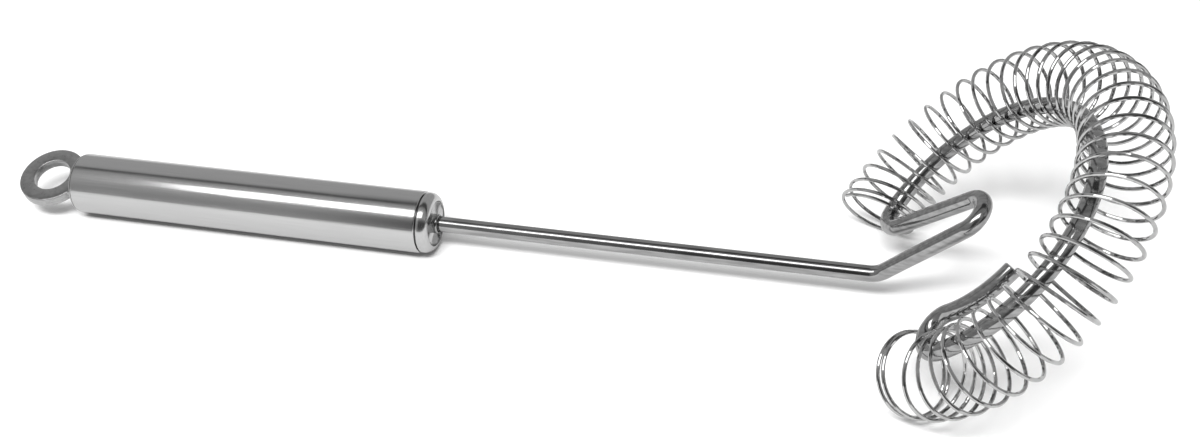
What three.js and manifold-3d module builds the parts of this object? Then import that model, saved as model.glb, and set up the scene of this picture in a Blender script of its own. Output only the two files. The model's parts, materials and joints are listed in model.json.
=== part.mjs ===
import * as THREE from 'three';
import * as BufferGeometryUtils from 'three/addons/utils/BufferGeometryUtils.js';
import Module from 'manifold-3d';

// A sauce whisk made wholly of stainless steel. A tubular handle holds one bent rod, and a long loose
// coil spring is threaded on the hoop at the rod's end. Lengths are in millimetres, angles in degrees.
// The whisk is first drawn with its shaft along X and its head rising from the bend at the origin,
// and is then laid down on the ground.

// Handle
const handleDiameter = 18;
const handleLength = 109.3;
const handleWall = 1;
const handleEndChamfer = 0.4;

// Ends of the handle, and the plate that it hangs by
const plugDepth = 8;
const plugWall = 1.2;
const frontCapReach = 3.6;
const frontCapEdge = 0.7;
const dishDiameter = 13.2;
const dishDepth = 2.5;
const webThickness = 1.3;
const capInset = 0.2;
const rearCapReach = 1.5;
const ringOuterDiameter = 20;
const ringHoleDiameter = 11;
const ringThickness = 3;
const ringEdgeRadius = 0.3;
const ringCentreFromHandle = 10.8;
const ringTwist = 6.6;
const ringRise = 0.85;
const tangWidth = 12;
const tangDepth = 2.8;

// Collar where the rod leaves the handle
const collarLength = 3.3;
const collarThickness = 0.45;
const collarClearance = 0.15;

// Rod
const rodDiameter = 4.5;
const shaftLength = 128.9;
const tailLength = 20;
const shaftBendRadius = 6;
const headPitch = 44.7;
const hoopRadius = 38.6;
const hoopCentreFromBend = 31.9;
const hoopCentreAside = 1.1;
const hairpinRadius = 5.2;
const hairpinReach = 30.3;
const hairpinOffset = -4.5;
const legCornerAngle = -152.4;
const cornerRadius = 5;
const hoopEndAngle = 99.4;
const returnRadius = 5.8;
const hookEndAngle = 56.6;

// Coil
const wireDiameter = 1;
const coilDiameter = 21.2;
const coilStartAngle = -147.2;
const coilEndAngle = 120.2;
const coilTurns = 41.5;
const windingStart = -85;
const closedTurns = 1.5;
const closedPitch = 1.8;
const coilPlay = { start: 0.92, middle: 0.92, end: 0.76 };
const coilSide = { start: 2, middle: 3, end: 72 };
const coilClearance = 0.4;
const endOpening = 0.03;
const startLean = 4;
const leanSide = 165;
const partingBefore = 5.4;
const partingAfter = 0.2;
const partingTurns = 4;

// Gap that is left between pieces that touch
const fitGap = 0.3;

// How finely round shapes are divided
const handleSides = 40;
const collarSides = 24;
const rodSides = 12;
const arcStep = 7;
const plateCurveSegments = 18;
const wireSides = 5;
const stepsPerTurn = 8;

const rad = THREE.MathUtils.degToRad;
const handleRadius = handleDiameter / 2;
const rodRadius = rodDiameter / 2;
const wireRadius = wireDiameter / 2;
const coilRadius = coilDiameter / 2;
const boreRadius = handleRadius - handleWall;
const handleFront = -shaftLength;
const handleRear = handleFront - handleLength;

function steel(name, shade, roughness) {
  const color = new THREE.Color(shade, shade, shade);
  return new THREE.MeshStandardMaterial({ name, color, roughness, metalness: 1 });
}

// A turned piece: pairs of radius and place along the shaft, going round the section
function turned(profile, sides) {
  const points = profile.map(([radius, along]) => new THREE.Vector2(radius, along));
  return new THREE.LatheGeometry(points, sides).rotateZ(-Math.PI / 2);
}

function arcProfile(centreRadius, centreAlong, radiusReach, alongReach, from, to, steps) {
  const points = [];
  for (let i = 0; i <= steps; i += 1) {
    const angle = rad(from + (to - from) * i / steps);
    points.push([centreRadius + radiusReach * Math.cos(angle), centreAlong + alongReach * Math.sin(angle)]);
  }
  return points;
}

// The handle's tube is open at both ends and slightly chamfered there
function handleTube() {
  const profile = [
    [boreRadius, handleRear],
    [handleRadius - handleEndChamfer, handleRear],
    [handleRadius, handleRear + handleEndChamfer],
    [handleRadius, handleFront - handleEndChamfer],
    [handleRadius - handleEndChamfer, handleFront],
    [boreRadius, handleFront],
    [boreRadius, handleRear],
  ];
  return turned(profile, handleSides);
}

// The front cap plugs the tube. Its nose is a rounded rim round a dish, bored for the rod.
function frontCap() {
  const plugRadius = boreRadius - fitGap;
  const flange = handleFront + fitGap;
  const shoulderRadius = handleRadius - capInset;
  const rimRadius = dishDiameter / 2;
  const nose = handleFront + frontCapReach;
  const shoulderStart = flange + frontCapEdge;
  const holeRadius = rodRadius + fitGap;
  const profile = [
    [plugRadius - plugWall, handleFront - plugDepth],
    [plugRadius, handleFront - plugDepth],
    [plugRadius, flange],
    [shoulderRadius, flange],
    ...arcProfile(rimRadius, shoulderStart, shoulderRadius - rimRadius, nose - shoulderStart, 0, 90, 6),
    ...arcProfile(holeRadius, nose, rimRadius - holeRadius, -dishDepth, 15, 90, 6),
    [holeRadius, nose - dishDepth - webThickness],
    [plugRadius - plugWall, nose - dishDepth - webThickness],
    [plugRadius - plugWall, handleFront - plugDepth],
  ];
  return turned(profile, handleSides);
}

let manifoldLibrary = null;

async function toSolid(geometry) {
  if (manifoldLibrary === null) {
    manifoldLibrary = await Module();
    manifoldLibrary.setup();
  }
  const bare = geometry.clone();
  bare.deleteAttribute('normal');
  bare.deleteAttribute('uv');
  const merged = BufferGeometryUtils.mergeVertices(bare);
  const { Manifold, Mesh } = manifoldLibrary;
  return new Manifold(new Mesh({
    numProp: 3,
    vertProperties: new Float32Array(merged.attributes.position.array),
    triVerts: new Uint32Array(merged.index.array),
  }));
}

function toGeometry(solid) {
  const mesh = solid.getMesh();
  const geometry = new THREE.BufferGeometry();
  geometry.setAttribute('position', new THREE.BufferAttribute(mesh.vertProperties, 3));
  geometry.setIndex(new THREE.BufferAttribute(mesh.triVerts, 1));
  geometry.computeVertexNormals();
  return geometry;
}

// The rear cap plugs the other end with a low dome, and a slot in it takes the plate's tang
async function rearCap() {
  const plugRadius = boreRadius - fitGap;
  const flange = handleRear - fitGap;
  const tip = handleRear - rearCapReach;
  const edge = flange - tip;
  const shoulderRadius = handleRadius - capInset;
  const profile = [
    [0, tip],
    ...arcProfile(shoulderRadius - edge, flange, edge, edge, -90, 0, 5),
    [plugRadius, flange],
    [plugRadius, handleRear + plugDepth],
    [plugRadius - plugWall, handleRear + plugDepth],
    [plugRadius - plugWall, handleRear + webThickness],
    [0, handleRear + webThickness],
  ];
  const slotLength = 2 * (rearCapReach + webThickness);
  const slot = new THREE.BoxGeometry(slotLength, tangWidth + 2 * fitGap, ringThickness + 2 * fitGap);
  slot.translate(0, 0, ringRise).rotateX(rad(ringTwist)).translate(handleRear, 0, 0);
  const dome = await toSolid(turned(profile, handleSides));
  return toGeometry(dome.subtract(await toSolid(slot)));
}

// The hang ring is a flat plate with a round hole and a tang
function hangRing() {
  const radius = ringOuterDiameter / 2;
  const half = tangWidth / 2;
  const corner = Math.asin(half / radius);
  const outline = new THREE.Shape();
  outline.moveTo(ringCentreFromHandle + tangDepth, half);
  outline.absarc(0, 0, radius, corner, 2 * Math.PI - corner, false);
  outline.lineTo(ringCentreFromHandle + tangDepth, -half);
  const hole = new THREE.Path();
  hole.absarc(0, 0, ringHoleDiameter / 2, 0, 2 * Math.PI, true);
  outline.holes.push(hole);
  const plate = new THREE.ExtrudeGeometry(outline, {
    depth: ringThickness - 2 * ringEdgeRadius,
    curveSegments: plateCurveSegments,
    bevelThickness: ringEdgeRadius,
    bevelSize: ringEdgeRadius,
    bevelOffset: -ringEdgeRadius,
    bevelSegments: 1,
  });
  return plate.translate(0, 0, ringRise + ringEdgeRadius - ringThickness / 2);
}

// A short collar stands in the dish, round the rod
function neckCollar() {
  const inner = rodRadius + collarClearance;
  const outer = inner + collarThickness;
  const foot = handleFront + frontCapReach - dishDepth + fitGap;
  const profile = [
    [inner, foot],
    [outer, foot],
    [outer, foot + collarLength - collarThickness],
    [inner + collarThickness / 2, foot + collarLength],
    [inner, foot + collarLength],
    [inner, foot],
  ];
  return turned(profile, collarSides);
}

// The head's own axes: forward from the bend up the slope, sideways, and square to the hoop
const forward = new THREE.Vector3(Math.cos(rad(headPitch)), 0, Math.sin(rad(headPitch)));
const sideways = new THREE.Vector3(0, -1, 0);
const square = new THREE.Vector3().crossVectors(forward, sideways);
const hoopCentre = new THREE.Vector2(hoopCentreFromBend, hoopCentreAside);

function inHead(along, across, off = 0) {
  return new THREE.Vector3()
    .addScaledVector(forward, along)
    .addScaledVector(sideways, across)
    .addScaledVector(square, off);
}

function onHoop(radius, degrees) {
  const direction = new THREE.Vector2(Math.cos(rad(degrees)), Math.sin(rad(degrees)));
  return direction.multiplyScalar(radius).add(hoopCentre);
}

class ArcCurve extends THREE.Curve {
  constructor(centre, alongX, alongY, radius, from, to) {
    super();
    Object.assign(this, { centre, alongX, alongY, radius, from, to });
  }

  getPoint(t, target = new THREE.Vector3()) {
    const angle = this.from + (this.to - this.from) * t;
    target.copy(this.centre).addScaledVector(this.alongX, this.radius * Math.cos(angle));
    return target.addScaledVector(this.alongY, this.radius * Math.sin(angle));
  }
}

function headArc(centre, radius, from, to) {
  return new ArcCurve(inHead(centre.x, centre.y), forward, sideways, radius, from, to);
}

// A joined curve gives each of its pieces as many steps as its bend needs
class JoinedCurve extends THREE.Curve {
  constructor(pieces) {
    super();
    this.steps = pieces.map((piece) => {
      return piece instanceof ArcCurve ? Math.ceil(Math.abs(piece.to - piece.from) / rad(arcStep)) : 1;
    });
    this.pieces = pieces;
    this.total = this.steps.reduce((sum, count) => sum + count, 0);
  }

  getUtoTmapping(u) {
    return u;
  }

  getPoint(t, target = new THREE.Vector3()) {
    let place = t * this.total;
    let index = 0;
    while (index < this.pieces.length - 1 && place > this.steps[index]) {
      place -= this.steps[index];
      index += 1;
    }
    return this.pieces[index].getPoint(place / this.steps[index], target);
  }
}

// The bend that takes the shaft's line into the first leg
function filletAt(corner, before, after, radius) {
  const turn = before.angleTo(after);
  const reach = radius * Math.tan(turn / 2);
  const axis = new THREE.Vector3().crossVectors(before, after).normalize();
  const inward = new THREE.Vector3().crossVectors(axis, before);
  const start = corner.clone().addScaledVector(before, -reach);
  const centre = start.clone().addScaledVector(inward, radius);
  const arc = new ArcCurve(centre, inward.clone().negate(), before.clone(), radius, 0, turn);
  return { start, arc, end: corner.clone().addScaledVector(after, reach) };
}

// Where the line from a point touches a circle, on the left (1) or the right (-1) of the line to its centre
function touchPoint(point, centre, radius, side) {
  const across = centre.clone().sub(point);
  const heading = across.angle() + side * Math.asin(radius / across.length());
  const length = Math.sqrt(across.lengthSq() - radius * radius);
  return point.clone().add(new THREE.Vector2(Math.cos(heading), Math.sin(heading)).multiplyScalar(length));
}

// The rod runs out of the handle, up the middle of the hoop, back through a hairpin to the hoop's
// start, round the hoop, and ends in a short hook that turns back beside it
function rodCurve() {
  const hairpinCentre = new THREE.Vector2(hairpinReach, hairpinOffset);
  const bend = new THREE.Vector2(0, 0);
  const hairpinStart = touchPoint(bend, hairpinCentre, hairpinRadius, 1);
  const corner = onHoop(hoopRadius, legCornerAngle);
  const hairpinEnd = touchPoint(corner, hairpinCentre, hairpinRadius, -1);

  const legHeading = corner.clone().sub(hairpinEnd).normalize();
  const legNormal = new THREE.Vector2(-legHeading.y, legHeading.x);
  const innerRadius = hoopRadius - cornerRadius;
  const lineFoot = hairpinEnd.clone().addScaledVector(legNormal, cornerRadius).sub(hoopCentre);
  const along = -lineFoot.dot(legHeading);
  const aside = lineFoot.dot(legNormal);
  const cornerCentre = hoopCentre.clone()
    .addScaledVector(legNormal, aside)
    .addScaledVector(legHeading, Math.sqrt(innerRadius * innerRadius - aside * aside));
  const legEnd = hairpinEnd.clone()
    .addScaledVector(legHeading, cornerCentre.clone().sub(hoopCentre).dot(legHeading) + along);
  const cornerFrom = legEnd.clone().sub(cornerCentre).angle();
  const hoopFrom = cornerCentre.clone().sub(hoopCentre).angle() - 2 * Math.PI;
  const cornerTo = cornerCentre.clone().sub(hoopCentre).angle();

  const firstLeg = inHead(hairpinStart.x, hairpinStart.y);
  const shaftHeading = new THREE.Vector3(1, 0, 0);
  const firstLegHeading = firstLeg.clone().normalize();
  const shaftBend = filletAt(new THREE.Vector3(), shaftHeading, firstLegHeading, shaftBendRadius);
  const hairpinFrom = hairpinStart.clone().sub(hairpinCentre).angle();
  const hairpinTo = hairpinEnd.clone().sub(hairpinCentre).angle() - 2 * Math.PI;
  const returnCentre = onHoop(hoopRadius - returnRadius, hoopEndAngle);
  const tail = new THREE.Vector3(handleFront + frontCapReach - dishDepth - tailLength, 0, 0);

  return new JoinedCurve([
    new THREE.LineCurve3(tail, shaftBend.start),
    shaftBend.arc,
    new THREE.LineCurve3(shaftBend.end, firstLeg),
    headArc(hairpinCentre, hairpinRadius, hairpinFrom, hairpinTo),
    new THREE.LineCurve3(inHead(hairpinEnd.x, hairpinEnd.y), inHead(legEnd.x, legEnd.y)),
    headArc(cornerCentre, cornerRadius, cornerFrom, cornerTo),
    headArc(hoopCentre, hoopRadius, hoopFrom, rad(hoopEndAngle)),
    headArc(returnCentre, returnRadius, rad(hoopEndAngle), rad(hoopEndAngle + 180)),
    headArc(hoopCentre, hoopRadius - 2 * returnRadius, rad(hoopEndAngle), rad(hookEndAngle)),
  ]);
}

function whiskRod() {
  const curve = rodCurve();
  const section = new THREE.Shape();
  const points = [];
  for (let i = 0; i < rodSides; i += 1) {
    const angle = 2 * Math.PI * i / rodSides;
    points.push(new THREE.Vector2(rodRadius * Math.cos(angle), rodRadius * Math.sin(angle)));
  }
  section.setFromPoints(points);
  return new THREE.ExtrudeGeometry(section, { steps: curve.total, extrudePath: curve });
}

// A smooth course through three values, at the coil's start, middle and end. A higher power
// keeps it longer near the middle value.
function course(values, share, power) {
  const t = 2 * share - 1;
  const swing = (values.end - values.start) / 2;
  const bow = (values.end + values.start) / 2 - values.middle;
  return values.middle + swing * t ** power + bow * t * t;
}

// The coil is wound on its own line, which hangs off the hoop: its first and last turns are closed up
// side by side, the open ones are spread round the hoop, a little wider apart towards both ends than
// in the middle, and the turns part where the rod leaves the coil
function coilPoint(turn) {
  const closedLength = closedTurns * closedPitch;
  const openTurns = coilTurns - 2 * closedTurns;
  const share = THREE.MathUtils.clamp((turn - closedTurns) / openTurns, 0, 1);
  const startAngle = rad(coilStartAngle) + closedLength / hoopRadius;
  const endAngle = rad(coilEndAngle) - closedLength / hoopRadius;
  const opened = share + endOpening * Math.sin(2 * Math.PI * share) / (2 * Math.PI);
  const angle = startAngle + (endAngle - startAngle) * opened;
  const play = coilRadius - wireRadius - rodRadius - coilClearance;
  const offset = play * course(coilPlay, share, 1);
  const side = rad(course(coilSide, share, 3));
  const before = Math.min(turn - closedTurns, 0) * closedPitch;
  const after = Math.max(turn - closedTurns - openTurns, 0) * closedPitch;

  const endOffset = play * coilPlay.end * Math.sin(rad(coilSide.end));
  const exitWinding = Math.asin(endOffset / coilRadius);
  const lastOpen = closedTurns + openTurns;
  const exitPhase = (rad(windingStart) - exitWinding) / (2 * Math.PI);
  const exitTurn = Math.round(lastOpen - exitPhase) + exitPhase;
  const winding = rad(windingStart) - 2 * Math.PI * turn;
  const nearExit = (1 - Math.cos(winding - exitWinding)) / 2;
  const nearLeg = (1 + Math.cos(winding - rad(leanSide))) / 2;
  const sinceStart = THREE.MathUtils.clamp((turn - closedTurns) / partingTurns, 0, 1);
  const tillExit = THREE.MathUtils.clamp((exitTurn - 0.5 - turn) / partingTurns, 0, 1);
  const leaning = startLean * nearLeg * (1 - THREE.MathUtils.smoothstep(sinceStart, 0, 1));
  const fading = 1 - THREE.MathUtils.smoothstep(tillExit, 0, 1);
  const parting = turn > exitTurn ? partingAfter : -partingBefore * fading;

  const outward = inHead(Math.cos(angle), Math.sin(angle));
  const onward = inHead(-Math.sin(angle), Math.cos(angle));
  return inHead(hoopCentre.x, hoopCentre.y)
    .addScaledVector(outward, hoopRadius + offset * Math.cos(side) + coilRadius * Math.cos(winding))
    .addScaledVector(square, offset * Math.sin(side) + coilRadius * Math.sin(winding))
    .addScaledVector(onward, before + after + leaning + parting * nearExit);
}

function coilCentreline() {
  const points = [];
  const count = coilTurns * stepsPerTurn;
  for (let i = 0; i <= count; i += 1) {
    points.push(coilPoint(i / stepsPerTurn));
  }
  const firstRun = points[0].clone().sub(points[1]).setLength(wireDiameter);
  const lastRun = points[count].clone().sub(points[count - 1]).setLength(wireDiameter);
  points.unshift(points[0].clone().add(firstRun));
  points.push(points[count + 1].clone().add(lastRun));
  return points;
}

// A closed tube of few sides along a row of points, with flat ends
function wireTube(points, sides, radius) {
  const positions = [];
  const faces = [];
  const last = points.length - 1;
  const axis = new THREE.Vector3();
  let normal = new THREE.Vector3(0, 0, 1);
  points.forEach((point, i) => {
    axis.subVectors(points[Math.min(i + 1, last)], points[Math.max(i - 1, 0)]).normalize();
    normal = normal.clone().addScaledVector(axis, -normal.dot(axis)).normalize();
    const binormal = new THREE.Vector3().crossVectors(axis, normal);
    for (let k = 0; k < sides; k += 1) {
      const angle = 2 * Math.PI * k / sides;
      const corner = point.clone().addScaledVector(normal, radius * Math.cos(angle));
      corner.addScaledVector(binormal, radius * Math.sin(angle));
      positions.push(corner.x, corner.y, corner.z);
    }
  });
  for (let i = 0; i < last; i += 1) {
    for (let k = 0; k < sides; k += 1) {
      const a = i * sides + k;
      const b = i * sides + (k + 1) % sides;
      faces.push(a, b, a + sides);
      faces.push(b, b + sides, a + sides);
    }
  }
  for (let k = 1; k < sides - 1; k += 1) {
    faces.push(0, k + 1, k);
    faces.push(last * sides, last * sides + k, last * sides + k + 1);
  }
  const geometry = new THREE.BufferGeometry();
  geometry.setAttribute('position', new THREE.Float32BufferAttribute(positions, 3));
  geometry.setIndex(faces);
  geometry.computeVertexNormals();
  return geometry;
}

// The least gap between the coil's turns, measured on points along its wire
function leastGap(points) {
  const fine = [];
  for (let i = 0; i < points.length - 1; i += 1) {
    for (const share of [0, 0.25, 0.5, 0.75]) {
      fine.push(points[i].clone().lerp(points[i + 1], share));
    }
  }
  const halfTurn = 4 * stepsPerTurn / 2;
  let least = Infinity;
  for (let i = 0; i < fine.length; i += 1) {
    for (let j = i + halfTurn; j < fine.length; j += 1) {
      least = Math.min(least, fine[i].distanceTo(fine[j]));
    }
  }
  return least - wireDiameter;
}

const brightSteel = steel('bright steel', 0.62, 0.12);
const satinSteel = steel('satin steel', 0.55, 0.3);

function piece(name, geometry, material) {
  const mesh = new THREE.Mesh(geometry, material.clone());
  mesh.name = name;
  return mesh;
}

const coilPoints = coilCentreline();
console.log(`least gap of the coil to itself: ${leastGap(coilPoints).toFixed(2)} mm`);

const handle = new THREE.Group();
handle.add(piece('handle_tube', handleTube(), brightSteel));
handle.add(piece('front_cap', frontCap(), brightSteel));
handle.add(piece('rear_cap', await rearCap(), brightSteel));
handle.add(piece('neck_collar', neckCollar(), satinSteel));
const ring = piece('hang_ring', hangRing(), satinSteel);
ring.position.x = handleRear - ringCentreFromHandle;
ring.rotation.x = rad(ringTwist);
handle.add(ring);

const head = new THREE.Group();
head.add(piece('whisk_rod', whiskRod(), brightSteel));
head.add(piece('whisk_coil', wireTube(coilPoints, wireSides, wireRadius), brightSteel));

const whisk = new THREE.Group();
whisk.add(handle, head);

// The whisk lies on its handle and on both ends of the coil: it is rolled until the two ends are
// level, and tipped until they are as low as the handle
function lowest(meshes, keep) {
  let low = Infinity;
  const point = new THREE.Vector3();
  for (const mesh of meshes) {
    const places = mesh.geometry.attributes.position;
    for (let i = 0; i < places.count; i += 1) {
      point.fromBufferAttribute(places, i);
      if (keep(point)) {
        low = Math.min(low, point.applyMatrix4(mesh.matrixWorld).z);
      }
    }
  }
  return low;
}

const restRounds = 30;
const coil = head.children[1];
const tube = handle.children[0];
for (let round = 0; round < restRounds; round += 1) {
  whisk.updateMatrixWorld(true);
  const near = lowest([coil], (point) => point.y < 0);
  const far = lowest([coil], (point) => point.y > 0);
  const grip = lowest([tube], () => true);
  whisk.rotation.x += Math.atan2(near - far, 2 * hoopRadius);
  whisk.rotation.y += Math.atan2((near + far) / 2 - grip, shaftLength);
  tube.rotation.x = Math.PI / handleSides - whisk.rotation.x;
}
whisk.updateMatrixWorld(true);

// The origin is the middle of the whisk's footprint, on the ground
const box = new THREE.Box3().setFromObject(whisk, true);
whisk.position.set(-(box.min.x + box.max.x) / 2, -(box.min.y + box.max.y) / 2, -box.min.z);
whisk.updateMatrixWorld(true);

export default whisk;
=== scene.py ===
"""A sauce whisk made wholly of stainless steel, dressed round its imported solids.

Lengths are in metres. The whisk lies on the table with its handle along X and its head rising at +X.
"""
import json
import math

import bmesh
import bpy
import numpy as np
from mathutils import Matrix, Vector


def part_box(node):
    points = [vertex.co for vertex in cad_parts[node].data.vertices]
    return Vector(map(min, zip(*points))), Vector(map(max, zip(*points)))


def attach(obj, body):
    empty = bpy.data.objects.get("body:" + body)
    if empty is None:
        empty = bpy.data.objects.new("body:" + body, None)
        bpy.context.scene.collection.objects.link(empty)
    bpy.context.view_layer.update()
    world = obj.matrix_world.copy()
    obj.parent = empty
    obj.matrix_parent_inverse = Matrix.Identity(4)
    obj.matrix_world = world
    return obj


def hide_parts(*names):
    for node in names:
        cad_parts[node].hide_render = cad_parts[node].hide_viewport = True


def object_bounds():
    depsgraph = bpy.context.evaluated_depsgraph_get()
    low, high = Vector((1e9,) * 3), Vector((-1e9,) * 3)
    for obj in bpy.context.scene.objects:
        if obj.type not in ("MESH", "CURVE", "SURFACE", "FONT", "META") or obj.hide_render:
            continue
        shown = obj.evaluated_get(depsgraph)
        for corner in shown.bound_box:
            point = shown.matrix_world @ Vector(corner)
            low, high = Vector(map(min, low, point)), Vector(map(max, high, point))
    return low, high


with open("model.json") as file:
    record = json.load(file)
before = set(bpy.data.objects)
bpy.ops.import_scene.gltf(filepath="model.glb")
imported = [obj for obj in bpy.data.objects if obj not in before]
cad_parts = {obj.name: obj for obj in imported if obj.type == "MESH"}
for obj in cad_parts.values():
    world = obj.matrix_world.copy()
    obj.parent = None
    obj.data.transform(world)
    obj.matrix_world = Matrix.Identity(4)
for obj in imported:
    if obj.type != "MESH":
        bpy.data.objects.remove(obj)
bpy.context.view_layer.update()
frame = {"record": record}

# Handle tube: a length of thin stainless steel tube, polished along its length. Its two ends are
# closed by pressed caps. The shaft's line, on which every turned piece stands, is the tube's own.
HANDLE_RADIUS = 0.009
HANDLE_LENGTH = 0.1093
HANDLE_WALL = 0.001
HANDLE_EDGE = 0.0004
EDGE_STEPS = 5
TURNED_SIDES = 128
SHARP_ANGLE = 35
SAME_POINT = 1e-7
MARK_DETAIL = 4
MARK_RANGE = (0.3, 0.7)
MARK_HEIGHT = 0.00005
ROUGHNESS_SPREAD = 0.25

handle_low, handle_high = (np.array(corner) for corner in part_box("handle_tube"))
shaft = np.array([1.0, 0.0, 0.0])
front_end = np.array([handle_high[0], *(handle_low + handle_high)[1:] / 2])
rear_end = front_end - HANDLE_LENGTH * shaft
upright = np.array([0.0, 0.0, 1.0])
crosswise = np.cross(upright, shaft)


def skin(name, rings, closed=False):
    """A mesh over rings of points: rings[i, k] is point k of ring i, each ring joins up with itself,
    and the last ring joins the first where closed. Points that fall together are merged."""
    count, around = rings.shape[:2]
    row = np.arange(count if closed else count - 1)[:, None]
    column = np.arange(around)[None, :]
    here = row * around
    after = (row + 1) % count * around
    beside = (column + 1) % around
    corners = here + column, here + beside, after + beside, after + column
    faces = np.stack(corners, axis=-1).reshape(-1, 4)
    mesh = bpy.data.meshes.new(name)
    mesh.from_pydata(rings.reshape(-1, 3).tolist(), [], faces.tolist())
    work = bmesh.new()
    work.from_mesh(mesh)
    bmesh.ops.remove_doubles(work, verts=work.verts, dist=SAME_POINT)
    bmesh.ops.recalc_face_normals(work, faces=work.faces)
    work.to_mesh(mesh)
    work.free()
    mesh.shade_smooth()
    mesh.set_sharp_from_angle(angle=math.radians(SHARP_ANGLE))
    piece = bpy.data.objects.new(name, mesh)
    bpy.context.collection.objects.link(piece)
    return piece


def turned(name, profile, foot, closed=True):
    """A turned piece: point = foot + along * shaft + radius * (cos(t) * crosswise + sin(t) * upright),
    for each (radius, along) of the profile and t once round."""
    radius, along = np.array(profile).T[:, :, None, None]
    angle = np.linspace(0, 2 * np.pi, TURNED_SIDES, endpoint=False)[None, :, None]
    rim = np.cos(angle) * crosswise + np.sin(angle) * upright
    return skin(name, foot + along * shaft + radius * rim, closed)


def arc(centre_radius, centre_along, radius_reach, along_reach, start, end, steps):
    """Profile points of an oval's stretch: centre + reach * (cos(a), sin(a)), a from start to end."""
    angle = np.radians(np.linspace(start, end, steps + 1))
    radius = centre_radius + radius_reach * np.cos(angle)
    along = centre_along + along_reach * np.sin(angle)
    return list(zip(radius, along))


def between(tree, share, low, high, start=0, end=1):
    """A result that runs evenly from low to high while share runs from start to end."""
    node = tree.nodes.new("ShaderNodeMapRange")
    node.inputs["From Min"].default_value = start
    node.inputs["From Max"].default_value = end
    node.inputs["To Min"].default_value = low
    node.inputs["To Max"].default_value = high
    tree.links.new(share, node.inputs["Value"])
    return node.outputs["Result"]


def polished_steel(name, shade, roughness, grain, grain_scale):
    """Bare stainless steel. Fine polishing marks, noise stretched by grain_scale, move its shade
    between the two given, change its roughness a little and roughen its surface by grain."""
    material = bpy.data.materials.new(name)
    material.use_nodes = True
    tree = material.node_tree
    shader = tree.nodes["Principled BSDF"]
    shader.inputs["Metallic"].default_value = 1
    place = tree.nodes.new("ShaderNodeTexCoord")
    stretch = tree.nodes.new("ShaderNodeMapping")
    stretch.inputs["Scale"].default_value = grain_scale
    noise = tree.nodes.new("ShaderNodeTexNoise")
    noise.inputs["Scale"].default_value = 1
    noise.inputs["Detail"].default_value = MARK_DETAIL
    bump = tree.nodes.new("ShaderNodeBump")
    bump.inputs["Strength"].default_value = grain
    bump.inputs["Distance"].default_value = MARK_HEIGHT
    marks = noise.outputs["Fac"]
    smoothest = roughness * (1 - ROUGHNESS_SPREAD)
    roughest = roughness * (1 + ROUGHNESS_SPREAD)
    link = tree.links.new
    link(place.outputs["Object"], stretch.inputs["Vector"])
    link(stretch.outputs["Vector"], noise.inputs["Vector"])
    link(between(tree, marks, *shade, *MARK_RANGE), shader.inputs["Base Color"])
    link(between(tree, marks, smoothest, roughest), shader.inputs["Roughness"])
    link(marks, bump.inputs["Height"])
    link(bump.outputs["Normal"], shader.inputs["Normal"])
    return material


handle_steel = polished_steel(
    "handle steel", shade=(0.59, 0.65), roughness=0.19, grain=0.25, grain_scale=(60, 2500, 2500))
edge_start = HANDLE_RADIUS - HANDLE_EDGE
handle_tube = turned("handle_grip", [
    (HANDLE_RADIUS - HANDLE_WALL, 0),
    (edge_start, 0),
    *arc(edge_start, HANDLE_EDGE, HANDLE_EDGE, HANDLE_EDGE, -90, 0, EDGE_STEPS),
    *arc(edge_start, HANDLE_LENGTH - HANDLE_EDGE, HANDLE_EDGE, HANDLE_EDGE, 0, 90, EDGE_STEPS),
    (HANDLE_RADIUS - HANDLE_WALL, HANDLE_LENGTH),
], rear_end)
handle_tube.data.materials.append(handle_steel)
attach(handle_tube, "whisk")
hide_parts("handle_tube")

# Front cap: a steel pressing that plugs the tube. A rounded rim stands out past the tube round a
# shallow dish, and the rod leaves through a hole in the middle of the dish.
CAP_SEAM = 0.00035
CAP_INSET = 0.0002
PLUG_DEPTH = 0.008
PLUG_WALL = 0.0012
FRONT_REACH = 0.0036
FRONT_EDGE = 0.0007
DISH_RADIUS = 0.0066
DISH_DEPTH = 0.0025
DISH_RIM_ANGLE = 8
CAP_WEB = 0.0013
CAP_STEPS = 16
CAP_FOOT_STEPS = 4
ROD_RADIUS = 0.00225

cap_steel = polished_steel(
    "cap steel", shade=(0.56, 0.64), roughness=0.17, grain=0.15, grain_scale=(2500, 900, 900))
plug_radius = HANDLE_RADIUS - HANDLE_WALL - CAP_SEAM
shoulder_radius = HANDLE_RADIUS - CAP_INSET
shoulder_start = CAP_SEAM + FRONT_EDGE
rod_hole_radius = ROD_RADIUS + CAP_SEAM
rim_width = shoulder_radius - DISH_RADIUS
rim_height = FRONT_REACH - shoulder_start
dish_width = DISH_RADIUS - rod_hole_radius
web_back = FRONT_REACH - DISH_DEPTH - CAP_WEB
front_cap = turned("front_plug", [
    (plug_radius - PLUG_WALL, -PLUG_DEPTH),
    (plug_radius, -PLUG_DEPTH),
    (plug_radius, CAP_SEAM),
    (shoulder_radius - CAP_SEAM, CAP_SEAM),
    *arc(shoulder_radius - CAP_SEAM, 2 * CAP_SEAM, CAP_SEAM, CAP_SEAM, -90, 0, CAP_FOOT_STEPS),
    *arc(DISH_RADIUS, shoulder_start, rim_width, rim_height, 0, 90, CAP_STEPS),
    *arc(rod_hole_radius, FRONT_REACH, dish_width, -DISH_DEPTH, DISH_RIM_ANGLE, 90, CAP_STEPS),
    (rod_hole_radius, web_back),
    (plug_radius - PLUG_WALL, web_back),
], front_end)
front_cap.data.materials.append(cap_steel)
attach(front_cap, "whisk")
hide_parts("front_cap")

# Rear cap: a low steel dome that plugs the tube's other end. The hanging plate's tang goes in
# through its middle.
REAR_REACH = 0.0015
REAR_SEAM = 0.00008
DOME_ROUNDING = 0.4
DOME_END_ANGLE = -45
DOME_STEPS = 12
ROUNDING_START_ANGLE = -60
ROUNDING_STEPS = 6

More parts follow.
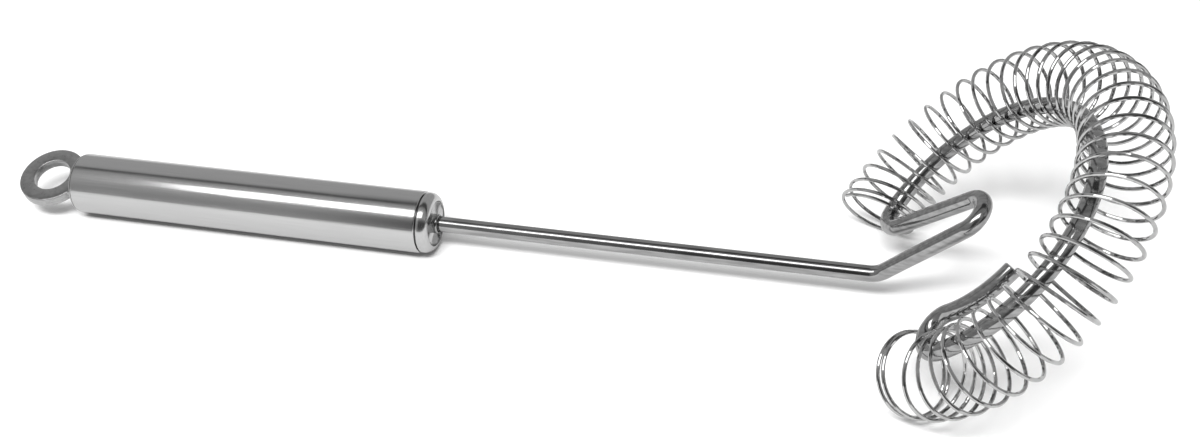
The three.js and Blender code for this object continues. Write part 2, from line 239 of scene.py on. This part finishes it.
dome_edge = REAR_REACH - REAR_SEAM
rounding = DOME_ROUNDING * dome_edge
crown = dome_edge - rounding
round_centre = shoulder_radius - rounding
rear_cap = turned("rear_plug", [
    (0, -REAR_REACH),
    *arc(0, -REAR_SEAM - rounding, shoulder_radius - crown, crown, -90, DOME_END_ANGLE, DOME_STEPS),
    *arc(round_centre, -REAR_SEAM, rounding, rounding, ROUNDING_START_ANGLE, 0, ROUNDING_STEPS),
    (plug_radius, -REAR_SEAM),
    (plug_radius, PLUG_DEPTH),
    (plug_radius - PLUG_WALL, PLUG_DEPTH),
    (plug_radius - PLUG_WALL, CAP_WEB),
    (0, CAP_WEB),
], rear_end, closed=False)
rear_cap.data.materials.append(cap_steel)
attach(rear_cap, "whisk")
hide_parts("rear_cap")

# Hanging plate: a flat steel plate cut out as a ring with a short straight tang, its edges eased.
# It stands a little twisted from the head's own level and above the handle's middle, as it was
# welded in.
RING_OUTER = 0.01
RING_HOLE = 0.0055
RING_THICKNESS = 0.003
RING_EDGE = 0.0004
RING_REACH = 0.0108
RING_RISE = 0.00085
RING_TWIST = 6.6
TANG_HALF = 0.006
TANG_DEPTH = 0.0024
RING_SIDES = 192
RING_EDGE_STEPS = 4

coil_slide = frame["record"]["behaviour"]["joints"][0]
hoop_centre = np.array(coil_slide["pos_m"])
square = np.array(coil_slide["axis"])
square = square / np.linalg.norm(square)
forward = shaft - shaft.dot(square) * square
forward = forward / np.linalg.norm(forward)
sideways = np.cross(square, forward)
head_roll = math.atan2(-sideways[2], -sideways[1])
ring_tilt = math.radians(RING_TWIST) + head_roll
ring_across = np.array([0.0, math.cos(ring_tilt), math.sin(ring_tilt)])
ring_normal = np.cross(shaft, ring_across)
ring_centre = rear_end - RING_REACH * shaft + RING_RISE * ring_normal


def ring_plate(name):
    """The plate's outline r(t) is a circle and, towards the handle, a straight tang, where r(t) is 1
    over the greater of cos(t) / the tang's end and |sin(t)| / its half width. Its section goes from
    the hole's wall over the top face to r(t) and back underneath, with the corners rounded: point =
    centre + r * (cos(t) * shaft + sin(t) * across) + z * normal."""
    t = np.linspace(-np.pi, np.pi, RING_SIDES, endpoint=False)
    tang = 1 / np.maximum(np.cos(t) / (RING_REACH + TANG_DEPTH), np.abs(np.sin(t)) / TANG_HALF)
    outline = np.where(np.abs(t) < math.asin(TANG_HALF / RING_OUTER), tang, RING_OUTER)
    half = RING_THICKNESS / 2
    quarter = np.radians(np.linspace(0, 90, RING_EDGE_STEPS + 1))
    inset = RING_EDGE * (1 - np.cos(quarter))
    lift = half - RING_EDGE * (1 - np.sin(quarter))
    rise = np.concatenate([lift, lift[::-1], -lift, -lift[::-1]])
    into = np.concatenate([inset, inset[::-1], inset, inset[::-1]])
    on_hole = np.repeat([True, False, False, True], len(quarter))
    radius = np.where(on_hole[:, None], RING_HOLE + into[:, None], outline[None, :] - into[:, None])
    flat = radius[..., None] * (np.cos(t)[None, :, None] * shaft + np.sin(t)[None, :, None] * ring_across)
    return skin(name, ring_centre + flat + rise[:, None, None] * ring_normal, closed=True)


plate_steel = polished_steel(
    "plate steel", shade=(0.42, 0.54), roughness=0.3, grain=0.35, grain_scale=(700, 700, 2500))
hang_ring = ring_plate("hang_plate")
hang_ring.data.materials.append(plate_steel)
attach(hang_ring, "whisk")
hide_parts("hang_ring")

# Neck collar: a short turned steel sleeve with a rounded mouth. It stands in the front cap's dish,
# close round the rod, where the rod goes into the handle.
COLLAR_LENGTH = 0.0033
COLLAR_THICKNESS = 0.00045
COLLAR_CLEARANCE = 0.0001
COLLAR_LIFT = 0.0002
COLLAR_MOUTH_ANGLE = 80
COLLAR_MOUTH_STEPS = 6

collar_steel = polished_steel(
    "collar steel", shade=(0.3, 0.4), roughness=0.16, grain=0.1, grain_scale=(900, 900, 900))
collar_inner = ROD_RADIUS + COLLAR_CLEARANCE
collar_foot = FRONT_REACH - DISH_DEPTH + COLLAR_LIFT
mouth_start = COLLAR_LENGTH - COLLAR_THICKNESS
neck_collar = turned("neck_sleeve", [
    (collar_inner, 0),
    (collar_inner + COLLAR_THICKNESS, 0),
    *arc(collar_inner, mouth_start, COLLAR_THICKNESS, COLLAR_THICKNESS,
         0, COLLAR_MOUTH_ANGLE, COLLAR_MOUTH_STEPS),
], front_end + collar_foot * shaft)
neck_collar.data.materials.append(collar_steel)
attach(neck_collar, "whisk")
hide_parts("neck_collar")

# Rod: one length of bright steel rod. It comes straight out of the handle, bends up into the head's
# plane, turns back through a hairpin to the hoop's start, runs round the hoop, and ends in a hook.
TAIL_LENGTH = 0.02
SHAFT_BEND = 0.006
HOOP_RADIUS = 0.0386
HOOP_FROM_BEND = 0.0319
HOOP_ASIDE = 0.0011
HAIRPIN_RADIUS = 0.0052
HAIRPIN_REACH = 0.0303
HAIRPIN_OFFSET = -0.0045
LEG_CORNER = -152.4
CORNER_RADIUS = 0.005
HOOP_END = 99.4
RETURN_RADIUS = 0.0058
HOOK_END = 56.6
ROD_SIDES = 32
ROD_END_EDGE = 0.0003
BEND_STEP = 1.25

bend = hoop_centre - HOOP_FROM_BEND * forward - HOOP_ASIDE * sideways


def line(start, end):
    """The two ends of a straight run."""
    return np.array([start, end])


def bow(centre, x_axis, y_axis, radius, start, end):
    """A round stretch: centre + radius * (cos(a) * x_axis + sin(a) * y_axis), a from start to end."""
    steps = max(2, math.ceil(abs(end - start) / math.radians(BEND_STEP)))
    angle = np.linspace(start, end, steps + 1)[:, None]
    return centre + radius * (np.cos(angle) * x_axis + np.sin(angle) * y_axis)


def in_head(along, across):
    """A point of the head's plane: bend + along * forward + across * sideways."""
    return bend + along * forward + across * sideways


def head_bow(centre, radius, start, end):
    """A round stretch in the head's plane."""
    return bow(in_head(*centre), forward, sideways, radius, start, end)


def touch(point, centre, radius, side):
    """Where the line from a point touches a circle, left (1) or right (-1) of the line to its centre:
    heading = heading to the centre + side * asin(radius / distance), and
    length = sqrt(distance^2 - radius^2)."""
    reach = centre - point
    distance = math.hypot(*reach)
    heading = math.atan2(reach[1], reach[0]) + side * math.asin(radius / distance)
    return point + math.sqrt(distance ** 2 - radius ** 2) * np.array([math.cos(heading), math.sin(heading)])


def heading_of(vector):
    """The angle of a vector of the head's plane, from 0 to a whole turn."""
    return math.atan2(vector[1], vector[0]) % (2 * math.pi)


def rod_path():
    """The rod's centreline: lines and round stretches that run into each other without a kink."""
    turn = 2 * math.pi
    hoop = np.array([HOOP_FROM_BEND, HOOP_ASIDE])
    hairpin = np.array([HAIRPIN_REACH, HAIRPIN_OFFSET])
    hairpin_start = touch(np.zeros(2), hairpin, HAIRPIN_RADIUS, 1)
    leg_corner = math.radians(LEG_CORNER)
    corner = hoop + HOOP_RADIUS * np.array([math.cos(leg_corner), math.sin(leg_corner)])
    hairpin_end = touch(corner, hairpin, HAIRPIN_RADIUS, -1)
    leg = corner - hairpin_end
    leg = leg / math.hypot(*leg)
    leg_left = np.array([-leg[1], leg[0]])
    foot = hairpin_end + CORNER_RADIUS * leg_left - hoop
    aside = foot.dot(leg_left)
    inner = HOOP_RADIUS - CORNER_RADIUS
    round_corner = hoop + aside * leg_left + math.sqrt(inner ** 2 - aside ** 2) * leg
    leg_end = hairpin_end + ((round_corner - hoop).dot(leg) - foot.dot(leg)) * leg
    onto_hoop = heading_of(round_corner - hoop)
    hoop_end = math.radians(HOOP_END)
    back = hoop + (HOOP_RADIUS - RETURN_RADIUS) * np.array([math.cos(hoop_end), math.sin(hoop_end)])
    first_leg = in_head(*hairpin_start) - bend
    first_leg = first_leg / np.linalg.norm(first_leg)
    bend_angle = math.acos(shaft.dot(first_leg))
    bend_reach = SHAFT_BEND * math.tan(bend_angle / 2)
    inward = first_leg - shaft.dot(first_leg) * shaft
    inward = inward / np.linalg.norm(inward)
    bend_start = bend - bend_reach * shaft
    tail = front_end + (FRONT_REACH - DISH_DEPTH - TAIL_LENGTH) * shaft
    hairpin_angles = heading_of(hairpin_start - hairpin), heading_of(hairpin_end - hairpin) - turn
    return np.concatenate([
        line(tail, bend_start),
        bow(bend_start + SHAFT_BEND * inward, -inward, shaft, SHAFT_BEND, 0, bend_angle),
        line(bend + bend_reach * first_leg, in_head(*hairpin_start)),
        head_bow(hairpin, HAIRPIN_RADIUS, *hairpin_angles),
        line(in_head(*hairpin_end), in_head(*leg_end)),
        head_bow(round_corner, CORNER_RADIUS, heading_of(leg_end - round_corner), onto_hoop),
        head_bow(hoop, HOOP_RADIUS, onto_hoop - turn, hoop_end),
        head_bow(back, RETURN_RADIUS, hoop_end, hoop_end + math.pi),
        head_bow(hoop, HOOP_RADIUS - 2 * RETURN_RADIUS, hoop_end, math.radians(HOOK_END)),
    ])


def carried(name, path, sides, radius, edge, reference):
    """A round bar along a path. At each point the section is radius * (cos(t) * a + sin(t) * b), with
    b the part of reference that is square to the path and a square to both. The ends close with an
    eased edge: the section shrinks from radius to radius - edge, and then to nothing."""
    keep = np.concatenate([[True], np.linalg.norm(np.diff(path, axis=0), axis=1) > SAME_POINT])
    path = path[keep]
    reference = np.broadcast_to(reference, (len(keep), 3))[keep]
    tangent = np.gradient(path, axis=0)
    tangent = tangent / np.linalg.norm(tangent, axis=1, keepdims=True)
    ends = np.array([0, 0, *range(len(path)), -1, -1])
    shift = np.zeros(len(ends))
    shift[:2] = -edge
    shift[-2:] = edge
    size = np.full(len(ends), radius)
    size[[1, -2]] = radius - edge
    size[[0, -1]] = 0
    path = path[ends] + shift[:, None] * tangent[ends]
    tangent = tangent[ends]
    reference = reference[ends]
    b = reference - np.sum(reference * tangent, axis=1, keepdims=True) * tangent
    b = b / np.linalg.norm(b, axis=1, keepdims=True)
    a = np.cross(b, tangent)
    t = np.linspace(0, 2 * np.pi, sides, endpoint=False)[None, :, None]
    section = np.cos(t) * a[:, None] + np.sin(t) * b[:, None]
    return skin(name, path[:, None] + size[:, None, None] * section)


rod_steel = polished_steel(
    "rod steel", shade=(0.3, 0.48), roughness=0.1, grain=0.12, grain_scale=(120, 900, 900))
whisk_rod = carried("bent_rod", rod_path(), ROD_SIDES, ROD_RADIUS, ROD_END_EDGE, square)
whisk_rod.data.materials.append(rod_steel)
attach(whisk_rod, "whisk")
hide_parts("whisk_rod")

# Coil: a long loose spring of bright steel wire, threaded on the hoop. It hangs off the hoop to its
# outer side, its end turns are closed up, and it can slide a little on the rod.
WIRE_RADIUS = 0.0005
COIL_RADIUS = 0.0106
COIL_START = -147.2
COIL_END = 120.2
COIL_TURNS = 41.5
WINDING_START = -85
CLOSED_TURNS = 1.5
CLOSED_PITCH = 0.0018
COIL_CLEARANCE = 0.0004
PLAY = (0.96, 0.99, 0.76)
SIDE = (2, 3, 72)
END_OPENING = 0.03
START_LEAN = 0.004
LEAN_SIDE = 165
PARTING_BEFORE = 0.0054
PARTING_AFTER = 0.0002
PARTING_TURNS = 4
STEPS_PER_TURN = 48
WIRE_SIDES = 10
WIRE_END_EDGE = 0.0001


def course(values, share, power):
    """A smooth course through three values: middle + (end - start) / 2 * s^power + ((end + start) / 2 -
    middle) * s^2, with s from -1 at the start to 1 at the end."""
    start, middle, end = values
    s = 2 * share - 1
    return middle + (end - start) / 2 * s ** power + ((end + start) / 2 - middle) * s ** 2


def ease(x):
    """A soft step from 0 to 1: 3x^2 - 2x^3, flat outside 0 to 1."""
    x = np.clip(x, 0, 1)
    return x * x * (3 - 2 * x)


def coil_path():
    """The wire's centreline, a right-handed winding of angle w = start - 2 pi * turn round a line that
    is offset from the hoop: hoop + outward * (R + off * cos(side) + r * cos(w)) + square * (off *
    sin(side) + r * sin(w)) + onward * (closed ends + lean + parting). The lean and the parting push
    turns aside where the rod leaves the coil at its start and end."""
    turn = np.linspace(0, COIL_TURNS, int(COIL_TURNS * STEPS_PER_TURN) + 1)
    open_turns = COIL_TURNS - 2 * CLOSED_TURNS
    last_open = CLOSED_TURNS + open_turns
    closed_angle = CLOSED_TURNS * CLOSED_PITCH / HOOP_RADIUS
    share = np.clip((turn - CLOSED_TURNS) / open_turns, 0, 1)
    start = math.radians(COIL_START) + closed_angle
    end = math.radians(COIL_END) - closed_angle
    angle = start + (end - start) * (share + END_OPENING * np.sin(2 * np.pi * share) / (2 * np.pi))
    play = COIL_RADIUS - WIRE_RADIUS - ROD_RADIUS - COIL_CLEARANCE
    offset = play * course(PLAY, share, power=1)
    side = np.radians(course(SIDE, share, power=3))
    closed = (np.minimum(turn - CLOSED_TURNS, 0) + np.maximum(turn - last_open, 0)) * CLOSED_PITCH
    winding_start = math.radians(WINDING_START)
    winding = winding_start - 2 * np.pi * turn
    exit_winding = math.asin(play * PLAY[2] * math.sin(math.radians(SIDE[2])) / COIL_RADIUS)
    exit_phase = (winding_start - exit_winding) / (2 * math.pi)
    exit_turn = round(last_open - exit_phase) + exit_phase
    near_exit = (1 - np.cos(winding - exit_winding)) / 2
    near_leg = (1 + np.cos(winding - math.radians(LEAN_SIDE))) / 2
    lean = START_LEAN * near_leg * (1 - ease((turn - CLOSED_TURNS) / PARTING_TURNS))
    before_exit = -PARTING_BEFORE * (1 - ease((exit_turn - 0.5 - turn) / PARTING_TURNS))
    parting = np.where(turn > exit_turn, PARTING_AFTER, before_exit) * near_exit
    outward = np.cos(angle)[:, None] * forward + np.sin(angle)[:, None] * sideways
    onward = np.cos(angle)[:, None] * sideways - np.sin(angle)[:, None] * forward
    out = HOOP_RADIUS + offset * np.cos(side) + COIL_RADIUS * np.cos(winding)
    off = offset * np.sin(side) + COIL_RADIUS * np.sin(winding)
    path = hoop_centre + out[:, None] * outward + off[:, None] * square
    return path + (closed + lean + parting)[:, None] * onward, onward


wire_steel = polished_steel(
    "wire steel", shade=(0.48, 0.62), roughness=0.07, grain=0.1, grain_scale=(500, 500, 500))
wire_line, wire_onward = coil_path()
whisk_coil = carried("spring_coil", wire_line, WIRE_SIDES, WIRE_RADIUS, WIRE_END_EDGE, wire_onward)
whisk_coil.data.materials.append(wire_steel)
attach(whisk_coil, "coil")
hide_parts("whisk_coil")

# Table: a plain white sheet under the whisk that takes its shadow. The camera sees it white and the
# steel sees it grey, and it is dark to light that has already bounced, which keeps shadows deep.
TABLE_HALF = 1.5
TABLE_ROUGHNESS = 0.9
TABLE_SHADE = 0.68
TABLE_SEEN_SHADE = 1.0
TABLE_BOUNCE = 0.15


def worked_out(tree, operation, *values):
    """The result of a math node. Each value is another node's result or a number."""
    node = tree.nodes.new("ShaderNodeMath")
    node.operation = operation
    for socket, value in zip(node.inputs, values):
        if isinstance(value, bpy.types.NodeSocket):
            tree.links.new(value, socket)
        else:
            socket.default_value = value
    return node.outputs[0]


table_mesh = bpy.data.meshes.new("table")
table_corners = [(x * TABLE_HALF, y * TABLE_HALF, 0) for x, y in ((-1, -1), (1, -1), (1, 1), (-1, 1))]
table_mesh.from_pydata(table_corners, [], [(0, 1, 2, 3)])
table = bpy.data.objects.new("table", table_mesh)
table.location.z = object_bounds()[0][2]
bpy.context.collection.objects.link(table)
table_paper = bpy.data.materials.new("table paper")
table_paper.use_nodes = True
paper = table_paper.node_tree
paper_shader = paper.nodes["Principled BSDF"]
paper_shader.inputs["Roughness"].default_value = TABLE_ROUGHNESS
paper_shader.inputs["Specular IOR Level"].default_value = 0
paper_ray = paper.nodes.new("ShaderNodeLightPath").outputs
paper_shade = between(paper, paper_ray["Is Camera Ray"], TABLE_SHADE, TABLE_SEEN_SHADE)
paper_bounce = between(paper, paper_ray["Diffuse Depth"], 1, TABLE_BOUNCE)
paper_colour = worked_out(paper, "MULTIPLY", paper_shade, paper_bounce)
paper.links.new(paper_colour, paper_shader.inputs["Base Color"])
table_mesh.materials.append(table_paper)

# Light: a soft lamp above and in front of the whisk, in a plain grey room. The steel shows the lamp
# as a longer, dimmer strip, as it would a large cloth before it, and the room as a gradient by height
# with a dark gap behind the zenith. The room also fills the shadows, and the camera sees it white.
LAMP_DISTANCE = 0.9
LAMP_LEAN = 32
LAMP_SIDE = 0
LAMP_LENGTH = 0.5
LAMP_WIDTH = 0.17
LAMP_POWER = 6.4
STRIP_DISTANCE = 0.85
STRIP_LEAN = 25
STRIP_SIDE = -0.17
STRIP_LENGTH = 0.88
STRIP_WIDTH = 0.28
STRIP_POWER = 2.6
LEFT_SHADES = {0: 0.34, 25: 0.32, 50: 0.42, 92: 0.38, 97: 0.06, 103: 0.06, 109: 0.42, 180: 0.42}
RIGHT_SHADES = {
    0: 0.3, 8: 0.1, 25: 0.05, 40: 0.1, 55: 0.42, 92: 0.3, 97: 0.06, 112: 0.06, 120: 0.4, 180: 0.42}
LEFT_EDGE = -0.35
RIGHT_EDGE = -0.15
FILL_SHADE = 0.55


def hung_lamp(name, place, size, power, in_steel):
    """A flat soft lamp over the whisk's line, tilted by lean from above to the front: point = (side,
    -distance * sin(lean), distance * cos(lean)). The steel shows it where in_steel is true."""
    side, lean, distance = place
    lean = math.radians(lean)
    lamp_data = bpy.data.lights.new(name, "AREA")
    lamp_data.shape = "RECTANGLE"
    lamp_data.size, lamp_data.size_y = size
    lamp_data.energy = power
    lamp = bpy.data.objects.new(name, lamp_data)
    lamp.location = (side, -distance * math.sin(lean), distance * math.cos(lean))
    lamp.rotation_euler = (lean, 0, 0)
    lamp.visible_glossy = in_steel
    bpy.context.collection.objects.link(lamp)


lamp_place = LAMP_SIDE, LAMP_LEAN, LAMP_DISTANCE
strip_place = STRIP_SIDE, STRIP_LEAN, STRIP_DISTANCE
hung_lamp("overhead lamp", lamp_place, (LAMP_LENGTH, LAMP_WIDTH), LAMP_POWER, in_steel=False)
hung_lamp("lit strip", strip_place, (STRIP_LENGTH, STRIP_WIDTH), STRIP_POWER, in_steel=True)

world = bpy.data.worlds.new("grey room")
world.use_nodes = True
bpy.context.scene.world = world
room = world.node_tree
direction = room.nodes.new("ShaderNodeTexCoord")
parts = room.nodes.new("ShaderNodeSeparateXYZ")
room.links.new(direction.outputs["Generated"], parts.inputs["Vector"])
to_front = worked_out(room, "MULTIPLY", parts.outputs["Y"], -1)
height = worked_out(room, "ARCTAN2", parts.outputs["Z"], to_front)
half_round = worked_out(room, "DIVIDE", height, math.pi)


def room_shades(stops):
    """A ramp by height, from the floor's edge in front (0 degrees) over the zenith to the back (180)."""
    ramp = room.nodes.new("ShaderNodeValToRGB")
    room.links.new(half_round, ramp.inputs["Fac"])
    elements = ramp.color_ramp.elements
    elements.remove(elements[1])
    for degrees, shade in stops.items():
        stop = elements.new(degrees / 180) if degrees else elements[0]
        stop.position = degrees / 180
        stop.color = (shade, shade, shade, 1)
    return ramp.outputs["Color"]


shades = room.nodes.new("ShaderNodeMix")
shades.data_type = "RGBA"
to_right = between(room, parts.outputs["X"], 0, 1, LEFT_EDGE, RIGHT_EDGE)
room.links.new(to_right, shades.inputs["Factor"])
room.links.new(room_shades(LEFT_SHADES), shades.inputs["A"])
room.links.new(room_shades(RIGHT_SHADES), shades.inputs["B"])
room_ray = room.nodes.new("ShaderNodeLightPath").outputs
fill = worked_out(room, "MULTIPLY", room_ray["Is Diffuse Ray"], FILL_SHADE)
filled = worked_out(room, "MAXIMUM", shades.outputs["Result"], fill)
shown = worked_out(room, "MAXIMUM", filled, room_ray["Is Camera Ray"])
background = room.nodes["Background"]
background.inputs["Color"].default_value = (1, 1, 1, 1)
room.links.new(shown, background.inputs["Strength"])

# Camera: above and in front of the whisk, looking down on it from a little right of the head. Its
# place and the point it aims at are measured from the rod's bend.
CAMERA_FROM_BEND = (0.021867, -0.321251, 0.26174)
CAMERA_AIM_FROM_BEND = (-0.08299, 0.021948, -0.008929)
CAMERA_ROLL = -4.02
CAMERA_LENS = 45.8
CAMERA_SENSOR = 36

camera_data = bpy.data.cameras.new("camera")
camera_data.lens = CAMERA_LENS
camera_data.sensor_width = CAMERA_SENSOR
camera_data.sensor_fit = "HORIZONTAL"
camera = bpy.data.objects.new("camera", camera_data)
camera_place = Vector(bend) + Vector(CAMERA_FROM_BEND)
sight = Vector(bend) + Vector(CAMERA_AIM_FROM_BEND) - camera_place
facing = sight.to_track_quat("-Z", "Y").to_matrix().to_4x4()
roll = Matrix.Rotation(math.radians(CAMERA_ROLL), 4, "Z")
camera.matrix_world = Matrix.Translation(camera_place) @ facing @ roll
bpy.context.collection.objects.link(camera)
bpy.context.scene.camera = camera
bpy.context.scene.view_settings.view_transform = "Standard"
